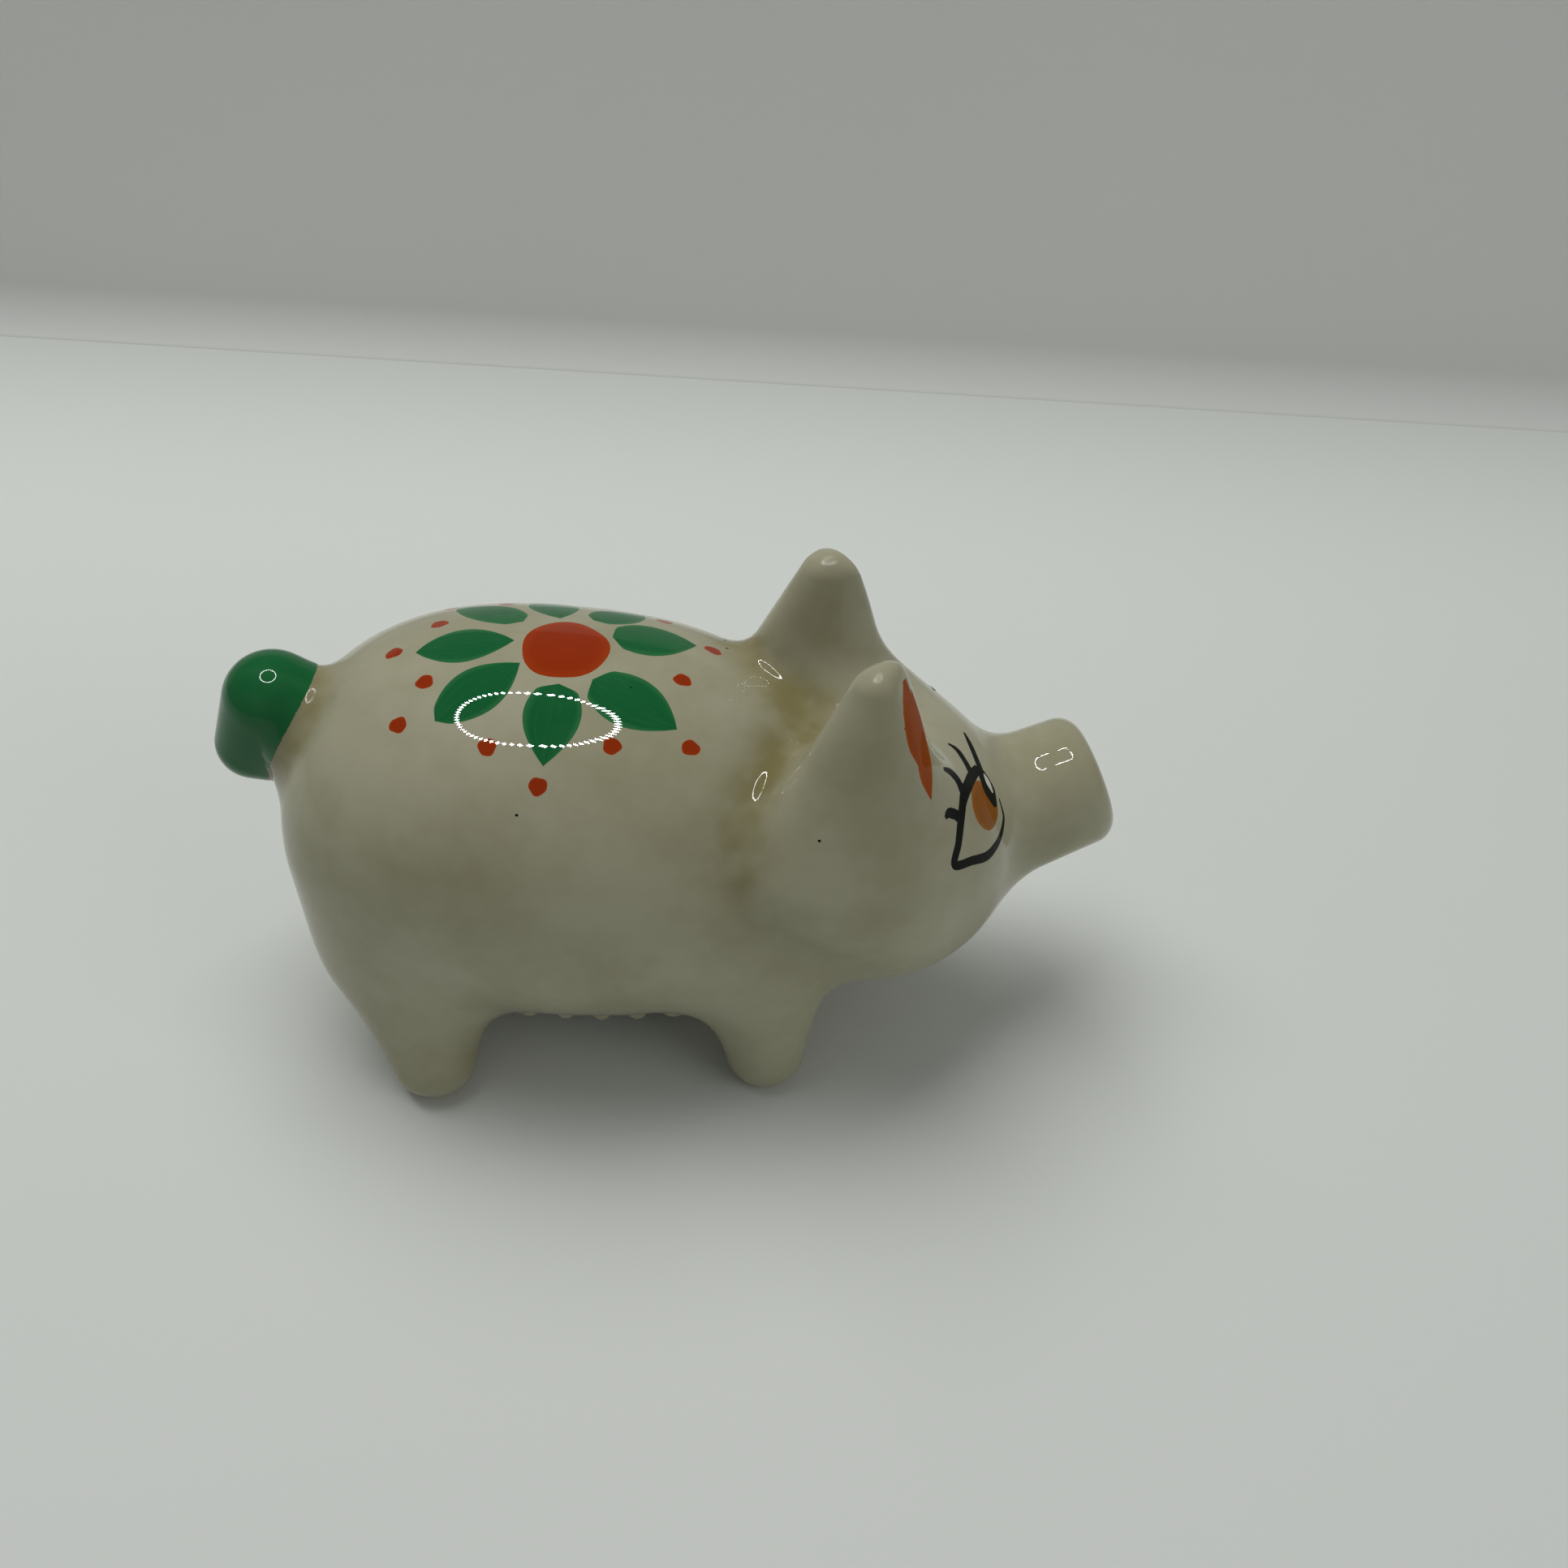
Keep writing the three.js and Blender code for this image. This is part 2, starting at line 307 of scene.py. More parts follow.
# %% [markdown]
# ## The shape of the clay
# The bank was cast in a mould, so body, head, legs, ears and tail run into each other
# in soft hollows. Joining separate meshes would leave hard seams. Instead each form is
# a distance: a formula that says how far any point lies outside it. Two distances are
# joined smoothly by a formula too, and the skin is wherever the joined distance is 0.

# %% Sizes of the clay, in mm
BODY = {"centre": (0, 0, 26.4), "half": (30.0, 23.3, 22.9), "bluntness": 2.43, "droop": 2.8}
NECK = {"from": (12, 0, 25.6), "to": (27, 0, 25.0), "radii": (19.0, 15.8)}
HEAD = {"centre": (35.1, 0, 25.5), "half": (17.0, 17.5, 16.6), "yaw": 14.5, "lift": 7.0}
SNOUT = {"root": (6, 0, -3.9), "end": (27.3, 0, 0.8), "radii": (8.8, 7.9, 7.5), "waist": 0.6,
         "rim": 2.6}
EAR = {"base": (-5.5, 11.4, 7.8), "tip": (0.5, 10.2, 28.6), "radii": (8.0, 2.9), "stretch": 1.4,
       "face": (0.8, 0.45, 0.22), "setback": 2.3, "edge": 1.6, "lead": {-1: 0.8, 1: 0.5}}
NAPE = {"centre": (-8.5, 0, 9.0), "half": (7.5, 11.5, 5.6), "blend": 4.0}
LEGS = [{"top": (24.4, 12.3, 17), "foot": (24.6, 14.8, 0), "radii": (6.7, 4.7)},
        {"top": (-16.8, 11.8, 15), "foot": (-13.2, 18.4, 0), "radii": (7.5, 4.9)}]
SUNK = 0.8
TAIL = {"knots": ((-26, 0, 34), (-29.8, 0, 40.8), (-32.9, -0.4, 35.0)), "radii": (5.0, 5.3, 4.1)}
BLEND = {"neck": 5.0, "leg": 8.0, "tail": 4.0, "snout": 4.0, "ear": 7.5, "head": 3.0, "teat": 1.2}
SIDES = (-1, 1)
print("body is", [2 * half for half in BODY["half"]], "mm")

# %% [markdown]
# Four formulas make every form. They follow from the shapes themselves: a stretched
# ball, a barrel with blunt ends, a cone with a ball at each end, and a turned profile.

# %% Distances to simple forms
def barrel(points, half, bluntness):
    """Blunt ellipsoid: g = (|x/a|^p + r^p)^(1/p), r = length of (y/b, z/c), over its slope."""
    scaled = points / half
    x = np.abs(scaled[:, 0]) + 1e-9
    r = np.hypot(scaled[:, 1], scaled[:, 2]) + 1e-9
    g = (x ** bluntness + r ** bluntness) ** (1 / bluntness)
    cross = g ** (1 - bluntness) * r ** (bluntness - 2)
    slope = np.sqrt((g ** (1 - bluntness) * x ** (bluntness - 1) / half[0]) ** 2
                    + (cross * scaled[:, 1] / half[1]) ** 2 + (cross * scaled[:, 2] / half[2]) ** 2)
    return (g - 1) / (slope + 1e-9)


def ball(points, half):
    """Ellipsoid: k (k - 1) / m, k = length of p / half, m = length of p / half^2."""
    half = np.asarray(half, float)
    k = np.linalg.norm(points / half, axis=1)
    return k * (k - 1) / (np.linalg.norm(points / half ** 2, axis=1) + 1e-9)


def round_cone(points, start, end, first, last):
    """The least distance to balls that shrink from first to last along a line."""
    start, line = np.asarray(start, float), np.subtract(end, start)
    length = np.linalg.norm(line)
    along = (points - start) @ (line / length)
    aside = np.sqrt(np.maximum(((points - start) ** 2).sum(1) - along ** 2, 0))
    lean = (first - last) / length
    nearest = np.clip((along - aside * lean / math.sqrt(1 - lean ** 2)) / length, 0, 1)
    return np.hypot(along - nearest * length, aside) - (first + (last - first) * nearest)


def turned(points, start, end, radii, waist, rim):
    """A turned cylinder whose radius is a parabola through three radii, with a rounded rim."""
    start, line = np.asarray(start, float), np.subtract(end, start)
    length = np.linalg.norm(line)
    along = (points - start) @ (line / length)
    aside = np.sqrt(np.maximum(((points - start) ** 2).sum(1) - along ** 2, 0))
    curve = np.polyfit((0, waist, 1), radii, 2)
    over = aside - np.polyval(curve, np.clip(along / length, 0, 1)) + rim
    beyond = np.abs(along - length / 2) - length / 2 + rim
    return (np.minimum(np.maximum(over, beyond), 0)
            + np.hypot(np.maximum(over, 0), np.maximum(beyond, 0)) - rim)


def joined(first, second, blend):
    """Smooth union: the smaller distance, less blend h (1 - h) where the two are near."""
    h = np.clip(0.5 + 0.5 * (second - first) / blend, 0, 1)
    return second + (first - second) * h - blend * h * (1 - h)


def carved(solid, cutter, blend):
    """Smooth difference: what is in the solid and not in the cutter."""
    return -joined(-solid, cutter, blend)


outside = np.array([(15.0, 0, 0)])
print("a 10 mm ball is", ball(outside, (10, 10, 10))[0], "mm from a point 15 mm out")

# %% [markdown]
# The head is turned to the pig's left and lifted a little, so it has its own axes.
# Ears, snout and eyes are drawn in them, and both sides are then one formula with the
# sign of y changed.

# %% The head's own axes
def turn(yaw, lift):
    """Matrix whose columns are the head's forward, left and up."""
    c, s = math.cos(math.radians(yaw)), math.sin(math.radians(yaw))
    spin = np.array([(c, -s, 0), (s, c, 0), (0, 0, 1)])
    c, s = math.cos(math.radians(lift)), math.sin(math.radians(lift))
    tip = np.array([(c, 0, -s), (0, 1, 0), (s, 0, c)])
    return spin @ tip


HEAD_AXES = turn(HEAD["yaw"], HEAD["lift"])
BODY_AXES = turn(0, -BODY["droop"])


def unit(vector):
    return np.asarray(vector, float) / np.linalg.norm(vector)


def in_head(points):
    """Drawing points become points on the head's axes, from its centre."""
    return (points - HEAD["centre"]) @ HEAD_AXES


print("head looks along", np.round(HEAD_AXES[:, 0], 3))

# %% [markdown]
# Now the parts of the pig, each a few lines. The ear is a stretched cone with a flat
# painted face. The legs are cones that are cut off by the table.

# %% Body, ears and legs as distances
TEAT_RADIUS = 0.9
TEAT_RAISED = 0.5
TEATS_PER_SIDE = 5
TEATS = [drawn(sum(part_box(f"teat_{side}_{i}"), Vector()) / 2) + (0, 0, TEAT_RAISED)
         for side in ("right", "left") for i in range(1, TEATS_PER_SIDE + 1)]


def torso(points):
    return barrel((points - BODY["centre"]) @ BODY_AXES, BODY["half"], BODY["bluntness"])


def ear_ends(side):
    """Base and tip of an ear: the two lead by a little less or more, as hand-set ears do."""
    lead = (EAR["lead"][side], 0, 0)
    return [np.multiply(EAR[key], (1.0, side, 1.0)) + lead for key in ("base", "tip")]


def ear_face(side):
    """Unit normal of an ear's flat face, and how far the face lies from the head's centre."""
    normal = unit(np.multiply(EAR["face"], (1, side, 1)))
    ahead = EAR["radii"][1] * EAR["stretch"] - EAR["setback"]
    return normal, (ear_ends(side)[1] + (ahead, 0, 0)) @ normal


def ear(local, side):
    """A round cone stretched along x about its base, less what lies in front of its face."""
    base, tip = ear_ends(side)
    squeeze = np.array((EAR["stretch"], 1, 1))
    cone = round_cone((local - base) / squeeze, (0, 0, 0), (tip - base) / squeeze, *EAR["radii"])
    normal, depth = ear_face(side)
    return -joined(-cone, depth - local @ normal, EAR["edge"])


def leg(points, side, top, foot, radii):
    """A round cone from the flank to a ball that sinks a little way into the table."""
    low = np.multiply(foot, (1.0, side, 1.0)) + (0, 0, radii[1] - SUNK)
    return round_cone(points, np.multiply(top, (1.0, side, 1.0)), low, *radii)


def tail(points):
    knots, radii = TAIL["knots"], TAIL["radii"]
    return np.minimum(round_cone(points, knots[0], knots[1], *radii[:2]),
                      round_cone(points, knots[1], knots[2], *radii[1:]))


print("teats hang at", [round(float(teat[0]), 1) for teat in TEATS[:TEATS_PER_SIDE]])

# %% [markdown]
# The parts are joined in the order in which they flow together: legs and tail into the
# body, snout and ears into the head, and then the two halves at the neck, where only a
# shallow groove is left. The same function says where the glaze is darkened: painted
# shade in the joins, together with pooled glaze, at the root of the tail and high on
# the neck, wherever both of the joined forms are near.

# %% The outer skin, and where the joins darken with painted shade and pooled glaze
NOSTRIL = {"radius": 1.5, "spacing": 5.6, "depth": 1.6, "taper": 0.8, "blend": 0.9}
# Strength and reach of the darkening in the joins: painted shade, together with pooled glaze.
POOL_AND_SHADE = {"tail": 0.8, "tail_reach": 4.2, "neck": 0.9, "neck_reach": 3.2, "none_below": 22,
        "full_above": 40}


def body_side(points):
    """Torso, neck and legs in one, then the tail beside it."""
    neck = round_cone(points, NECK["from"], NECK["to"], *NECK["radii"])
    trunk = joined(torso(points), neck, BLEND["neck"])
    for pair in LEGS:
        for side in SIDES:
            trunk = joined(trunk, leg(points, side, **pair), BLEND["leg"])
    return trunk, tail(points)


def head_side(points):
    """Skull, nape and snout in one, then the two ears beside it."""
    local = in_head(points)
    snout = turned(local, SNOUT["root"], SNOUT["end"], SNOUT["radii"], SNOUT["waist"], SNOUT["rim"])
    nape = ball(local - NAPE["centre"], NAPE["half"])
    skull = joined(ball(local, HEAD["half"]), nape, NAPE["blend"])
    return joined(skull, snout, BLEND["snout"]), [ear(local, side) for side in SIDES]


def near_join(first, second, reach):
    """1 at the join of two forms, and falling off over its reach: e^-((a^2 + b^2) / reach^2)."""
    return np.exp(-(first ** 2 + second ** 2) / reach ** 2)


def skin_and_joint_shade(points):
    """Distance to the skin, and from 0 to 1 how far a join is darkened: painted shade and pooled
    glaze.
    """
    trunk, tail_part = body_side(points)
    back_half = joined(trunk, tail_part, BLEND["tail"])
    front_half, ears = head_side(points)
    for one_ear in ears:
        front_half = joined(front_half, one_ear, BLEND["ear"])
    # The joins are darkened: painted shade where they fall in shadow, together with pooled glaze.
    high = (points[:, 2] - POOL_AND_SHADE["none_below"]) / (POOL_AND_SHADE["full_above"] - POOL_AND_SHADE["none_below"])
    neck_pool_and_shade = near_join(back_half, front_half, POOL_AND_SHADE["neck_reach"]) * np.clip(high, 0, 1)
    tail_pool_and_shade = near_join(trunk, tail_part, POOL_AND_SHADE["tail_reach"])
    pool_and_shade = POOL_AND_SHADE["tail"] * tail_pool_and_shade + POOL_AND_SHADE["neck"] * neck_pool_and_shade
    return joined(back_half, front_half, BLEND["head"]), np.clip(pool_and_shade, 0, 1)


def skin(points):
    return skin_and_joint_shade(points)[0]


over_back = skin(np.array([(0.0, 0, 50)]))[0]
print("the skin passes", round(float(over_back), 2), "mm under a point 50 mm over the table")

# %% [markdown]
# The bank is hollow, with a slot for coins and a hole for the stopper. On the drawing
# these are cutters: an inner pig three millimetres smaller, a flat box and a cone.

# %% Hollow, coin slot, stopper hole, soles and teats
WALL = 3.0
THROAT = {"from": (10, 0, 26), "to": (28, 0, 26), "radius": 8.5, "blend": 2.0}
SLOT = {"centre": (2.0, 37.2), "half": (13.5, 2.2), "from": 12.0, "edge": 1.2}
HOLE_GAP = 0.3
EDGE = {"inside": 0.4, "hole": 0.8, "sole": 0.6}
stopper_radius = 500 * (stopper_high.x - stopper_low.x)


def hollow(points):
    """The room inside: body and head, each a wall thinner, and the way between them."""
    thinner = [np.subtract(form["half"], WALL) for form in (BODY, HEAD)]
    room = barrel((points - BODY["centre"]) @ BODY_AXES, thinner[0], BODY["bluntness"])
    room = joined(room, ball(in_head(points), thinner[1]), THROAT["blend"])
    throat = round_cone(points, THROAT["from"], THROAT["to"], THROAT["radius"], THROAT["radius"])
    return joined(room, throat, THROAT["blend"])


def box_hole(points):
    """The coin slot: a flat box through the left flank, long in x and thin in z."""
    over_x = np.abs(points[:, 0] - SLOT["centre"][0]) - SLOT["half"][0]
    over_z = np.abs(points[:, 2] - SLOT["centre"][1]) - SLOT["half"][1]
    return np.maximum(np.maximum(over_x, over_z), SLOT["from"] - points[:, 1])


def stopper_hole(points):
    """A plain round hole up through the belly, a gap wider than the stopper."""
    aside = np.hypot(points[:, 0] - STOPPER_X, points[:, 1])
    return np.maximum(aside - stopper_radius - HOLE_GAP, points[:, 2] - BODY["centre"][2])


def pot(points):
    """The whole piece of pottery, as a distance that is negative inside the clay."""
    clay = skin(points)
    for centre in TEATS:
        clay = joined(clay, ball(points - centre, (TEAT_RADIUS,) * 3), BLEND["teat"])
    local, end = in_head(points), np.asarray(SNOUT["end"], float)
    axis = unit(end - SNOUT["root"])
    for side in SIDES:
        mouth = end + (0, side * NOSTRIL["spacing"] / 2, 0)
        floor = mouth - axis * (NOSTRIL["depth"] - NOSTRIL["radius"])
        dimple = round_cone(local, mouth + axis, floor, NOSTRIL["radius"],
                            NOSTRIL["taper"] * NOSTRIL["radius"])
        clay = carved(clay, dimple, NOSTRIL["blend"])
    clay = carved(clay, hollow(points), EDGE["inside"])
    clay = carved(clay, box_hole(points), SLOT["edge"])
    clay = carved(clay, stopper_hole(points), EDGE["hole"])
    return carved(clay, points[:, 2], EDGE["sole"])


print("stopper is", round(2 * stopper_radius, 2), "mm across")

# %% [markdown]
# ## From distances to a mesh
# A surface net asks the formula at every corner of a grid of small cubes. A cube whose
# corners lie on both sides of the skin gets one vertex, and each grid edge that pierces
# the skin gets one four-sided face. The vertices are then evened out and slid onto the
# exact surface along its slope. A voxel remesh would give the same kind of net, but it
# can't slide its vertices onto a formula, and a glossy glaze shows every bump.

# %% Surface net
def slope_of(distance, points, step=0.01):
    """Gradient of a distance by central differences."""
    shifts = np.eye(3) * step
    return np.stack([(distance(points + s) - distance(points - s)) / (2 * step) for s in shifts], 1)


def crossing_cells(values):
    """Cells with corners on both sides of 0, and the mean of their edge crossings, in cells."""
    corner = [slice(0, -1), slice(1, None)]
    total = np.zeros(np.subtract(values.shape, 1))
    place = np.zeros((*total.shape, 3))
    for axis in range(3):
        for b in (0, 1):
            for c in (0, 1):
                pick = [None] * 3
                pick[(axis + 1) % 3], pick[(axis + 2) % 3] = corner[b], corner[c]
                near, far = (values[tuple(corner[end] if p is None else p for p in pick)]
                             for end in (0, 1))
                cut = (near < 0) != (far < 0)
                share = np.where(cut, near / np.where(cut, near - far, 1), 0)
                total += cut
                place[..., axis] += share
                place[..., (axis + 1) % 3] += cut * b
                place[..., (axis + 2) % 3] += cut * c
    active = total > 0
    return active, place[active] / total[active][:, None]


def surface_net(distance, low, high, cell):
    """Vertices and four-sided faces of the surface where the distance is 0."""
    counts = np.ceil(np.subtract(high, low) / cell).astype(int) + 1
    grid = np.stack(np.meshgrid(*(np.arange(n) for n in counts), indexing="ij"), -1)
    values = distance(grid.reshape(-1, 3) * cell + low).reshape(counts)
    active, offset = crossing_cells(values)
    index = np.full(active.shape, -1)
    index[active] = np.arange(active.sum())
    vertices = (np.argwhere(active) + offset) * cell + low
    faces = []
    for axis in range(3):
        b, c = (axis + 1) % 3, (axis + 2) % 3
        inner = [slice(1, -1)] * 3
        inner[axis] = slice(0, -1)
        outer = list(inner)
        outer[axis] = slice(1, None)
        first, second = values[tuple(inner)] < 0, values[tuple(outer)] < 0
        for leaving in (True, False):
            edges = np.argwhere((first if leaving else second) & ~(second if leaving else first))
            edges[:, [b, c]] += 1
            around = [(1, 1), (0, 1), (0, 0), (1, 0)]
            around = around if leaving else around[::-1]
            loop = []
            for back_b, back_c in around:
                cells = edges.copy()
                cells[:, b] -= back_b
                cells[:, c] -= back_c
                loop.append(index[tuple(cells.T)])
            faces.append(np.stack(loop, 1))
    return vertices, np.concatenate(faces)


print("surface net ready")

# %% Even out the net and slide it onto the surface
def evened(vertices, faces, distance, rounds=6, reach=0.25):
    """Each round moves vertices half way to the mean of their neighbours, then back on."""
    ends = np.concatenate([faces[:, [i, (i + 1) % 4]] for i in range(4)])
    count = np.bincount(ends[:, 0], minlength=len(vertices)).astype(float)
    for turn_number in range(rounds + 2):
        if turn_number < rounds:
            mean = np.stack([np.bincount(ends[:, 0], vertices[ends[:, 1], k], len(vertices))
                             for k in range(3)], 1) / count[:, None]
            vertices = 0.5 * (vertices + mean)
        slope = slope_of(distance, vertices)
        step = distance(vertices)[:, None] * slope / ((slope ** 2).sum(1)[:, None] + 1e-6)
        size = np.linalg.norm(step, axis=1)[:, None]
        vertices = vertices - step * np.minimum(1, reach / (size + 1e-9))
    return vertices


print("smoothing ready")

# %% [markdown]
# Every piece reaches Blender in the same way: vertices and faces go in as whole arrays,
# with smooth shading, the surface's own normals, the attributes its finish reads and the
# body it rides on.

# %% Put a piece into the scene
def add_piece(name, vertices, faces, material, body="pig", normals=None, attributes=None):
    """A mesh object at the origin, from drawing points in mm and an array or list of faces."""
    mesh = bpy.data.meshes.new(name)
    mesh.from_pydata(placed(vertices), [], faces if isinstance(faces, list) else faces.tolist())
    for label, values in (attributes or {}).items():
        layer = mesh.attributes.new(label, "FLOAT", "POINT")
        layer.data.foreach_set("value", np.asarray(values, np.float32))
    mesh.shade_smooth()
    if normals is not None:
        mesh.normals_split_custom_set_from_vertices(normals)
    mesh.materials.append(material)
    piece = bpy.data.objects.new(name, mesh)
    bpy.context.scene.collection.objects.link(piece)
    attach(piece, body)
    print(name, len(mesh.vertices), "vertices", len(mesh.polygons), "faces")
    return piece


def outward(distance, points):
    """Unit normals of a surface from the slope of its distance."""
    slope = slope_of(distance, points, 0.02)
    return slope / np.linalg.norm(slope, axis=1)[:, None]


# %% Glazed skin
CELL = 0.66
low, high = drawn(cad_low) - 1.5 * CELL, drawn(cad_high) + 1.5 * CELL
vertices, faces = surface_net(pot, low, high, CELL)
vertices = evened(vertices, faces, pot)
# The skin carries the darkening of its joins, painted shade together with pooled glaze, as an
# attribute.
glazed_skin = add_piece("glazed_skin", vertices, faces, glaze,
                        normals=outward(pot, vertices),
                        attributes={"pool_and_shade": skin_and_joint_shade(vertices)[1]})
ceramic = [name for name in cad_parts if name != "stopper"]
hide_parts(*ceramic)

# %% [markdown]
# ## Paint
# A brush stroke is a very thin film with a rim. It is drawn on a flat chart, as on
# paper, and each point of the chart is then dropped onto the skin along its own line.
# Painting with a texture would be the other way, but a film keeps a crisp brushed edge
# at any distance and can carry its own finish. A chart gives, for each of its points, a
# start, the line that it is dropped along, and how far out on that line the drop begins.

# %% Charts of the pig
BACK = {"centre": (2.2, 0.6), "round": 23.0, "above": 2.0}
EYE = {"from_front": {-1: 48.3, 1: 54.0}, "above": {-1: 31.0, 1: 21.0}, "reach": 17.0,
       "outside": 1.0}
LINING = {"behind": 4.0, "ahead": 1.5}
DROP = {"rounds": 30, "share": 0.8, "longest": 1.5}


def on_back(uv):
    """Chart of the back: u along the spine from the flower's centre, v over to the left."""
    angle = (uv[:, 1] + BACK["centre"][1]) / BACK["round"]
    start = np.stack([uv[:, 0] + BACK["centre"][0], 0 * angle, 0 * angle + BODY["centre"][2]], 1)
    ray = np.stack([0 * angle, np.sin(angle), np.cos(angle)], 1)
    return start, ray, BACK["round"] + BACK["above"]


def on_face(side):
    """Chart of one side of the face: u towards the snout and v up, flat before the eye."""
    turn_out, rise = (math.radians(EYE[key][side]) for key in ("from_front", "above"))
    forward, sideways = math.cos(turn_out), side * math.sin(turn_out)
    ahead = np.array((math.cos(rise) * forward, math.cos(rise) * sideways, math.sin(rise)))
    snoutward = np.array((math.sin(turn_out), -side * math.cos(turn_out), 0))
    upward = np.cross(snoutward, ahead) * side

    def chart(uv):
        ray = ahead * EYE["reach"] + uv[:, :1] * snoutward + uv[:, 1:] * upward
        ray = (ray / np.linalg.norm(ray, axis=1)[:, None]) @ HEAD_AXES.T
        start = np.broadcast_to(np.asarray(HEAD["centre"], float), ray.shape)
        return start, ray, EYE["reach"] + EYE["outside"]
    return chart


def on_ear(side):
    """Chart of an ear's flat face: u outwards and v up, dropped straight back onto it."""
    normal, depth = ear_face(side)
    rise = unit(np.array((0, 0, 1)) - normal[2] * normal)
    out = np.cross(normal, rise) * -side

    def chart(uv):
        start = normal * (depth - LINING["behind"]) + uv[:, :1] * out + uv[:, 1:] * rise
        ray = np.broadcast_to(HEAD_AXES @ normal, start.shape)
        return start @ HEAD_AXES.T + HEAD["centre"], ray, LINING["behind"] + LINING["ahead"]
    return chart


def dropped(chart, uv, height):
    """Points of a chart on the skin: each round moves in by 0.8 of the distance that is left."""
    start, ray, first = chart(uv)
    travel = np.full(len(uv), float(first))
    for _ in range(DROP["rounds"]):
        step = DROP["share"] * (skin(start + travel[:, None] * ray) - height)
        travel = travel - np.clip(step, -DROP["longest"], DROP["longest"])
    return start + travel[:, None] * ray


print("charts ready")

# %% [markdown]
# A film is a stack of closed rings. For a stroke, the rings stand across a curved line
# and swell and taper with the brush. For a dab, they run round its middle. Either way
# the upper half of a ring lies just over the glaze and the lower half is sunk in it.

# %% Films of paint
FIRST_COAT, SECOND_COAT, THIRD_COAT = 0.045, 0.065, 0.085
FILM = {"over": FIRST_COAT, "under": 0.22, "rim": 0.02, "finest": 0.02}
SMALLEST_RING = 0.15


def film_height(turn_angle):
    """Height round a ring: root of the sine, up steeply, flat on top and down under the rim."""
    rise = np.sin(turn_angle)
    reach = np.where(rise > 0, FILM["over"], FILM["under"])
    return reach * np.sign(rise) * np.abs(rise) ** 0.5 - FILM["rim"]


def curve_through(knots, count):
    """Smooth line through given points: cubic pieces whose slopes join their neighbours."""
    knots = np.asarray(knots, float)
    ends = np.vstack([2 * knots[0] - knots[1], knots, 2 * knots[-1] - knots[-2]])
    t = np.linspace(0, len(knots) - 1, count)
    i = np.minimum(t.astype(int), len(knots) - 2)
    f = (t - i)[:, None]
    a, b, c, d = (ends[i + k] for k in range(4))
    square, cube = 2 * a - 5 * b + 4 * c - d, 3 * b - a - 3 * c + d
    return 0.5 * (2 * b + (c - a) * f + square * f ** 2 + cube * f ** 3)


def stroke(chart, knots, half_widths, stations=40, ring=20):
    """A brush stroke: rings across a curve, p + w cos(q) n, with w from given half-widths."""
    line = curve_through(knots, stations + 2)
    slope = np.gradient(line, axis=0)
    across = np.stack([-slope[:, 1], slope[:, 0]], 1) / np.linalg.norm(slope, axis=1)[:, None]
    t = np.linspace(0, 1, stations + 2)
    width = curve_through(np.stack([half_widths, half_widths], 1), stations + 2)[:, 0]
    width = np.maximum(width, FILM["finest"])
    q = np.arange(ring) * 2 * math.pi / ring
    uv = line[:, None] + width[:, None, None] * np.cos(q)[None, :, None] * across[:, None]
    height = np.broadcast_to(film_height(q), (stations + 2, ring))
    sideways = np.broadcast_to(np.cos(q), (stations + 2, ring))
    return rings(chart, uv, height, {"along": t[:, None] + 0 * q, "across": sideways,
                                     "rim": np.abs(sideways)})


def dab(chart, centre, outline, count=12, ring=48):
    """A dab: rings from the top of the film to its underside, reach(q) times sin(way)^0.6."""
    way = np.linspace(SMALLEST_RING, math.pi - SMALLEST_RING, count)
    q = np.arange(ring) * 2 * math.pi / ring
    spread = np.sin(way) ** 0.6
    uv = np.asarray(centre, float) + spread[:, None, None] * outline(q)[None]
    height = np.broadcast_to(film_height(math.pi / 2 - way)[:, None], (count, ring))
    return rings(chart, uv, height, {"along": 0.2 * uv[..., 0], "across": 0.2 * uv[..., 1],
                                     "rim": spread[:, None] + 0 * q})


print("brush ready")

# %% Close a stack of rings
def rings(chart, uv, height, data):
    """Vertices and faces of a closed stack: a middle point caps the first and last rings."""
    rows, ring = uv.shape[:2]
    height_and_caps = np.append(height.ravel(), height[[0, -1]].mean(1))
    points = dropped(chart, np.vstack([uv.reshape(-1, 2), uv[[0, -1]].mean(1)]), height_and_caps)
    k = np.arange((rows - 1) * ring).reshape(rows - 1, ring)
    side = np.stack([k, k + ring, np.roll(k, -1, 1) + ring, np.roll(k, -1, 1)], -1).reshape(-1, 4)
    first, last = np.arange(ring), np.arange(ring) + (rows - 1) * ring
    fans = [np.stack([0 * first + rows * ring, first, np.roll(first, -1)], 1),
            np.stack([0 * last + rows * ring + 1, np.roll(last, -1), last], 1)]
    data = {label: np.append(values.ravel(), values[[0, -1]].mean(1))
            for label, values in data.items()}
    data["top"] = height_and_caps > -FILM["rim"]
    return points, side.tolist() + fans[0].tolist() + fans[1].tolist(), data


def is_inside_out(points, faces):
    """True where the signed volume of a closed mesh, the sum of a . (b x c) / 6, is negative."""
    corners = np.array([f[:3] for f in faces] + [(f[0], f[2], f[3]) for f in faces if len(f) == 4])
    a, b, c = (points[corners[:, i]] - points.mean(0) for i in range(3))
    return np.einsum("ij,ij->i", a, np.cross(b, c)).sum() < 0


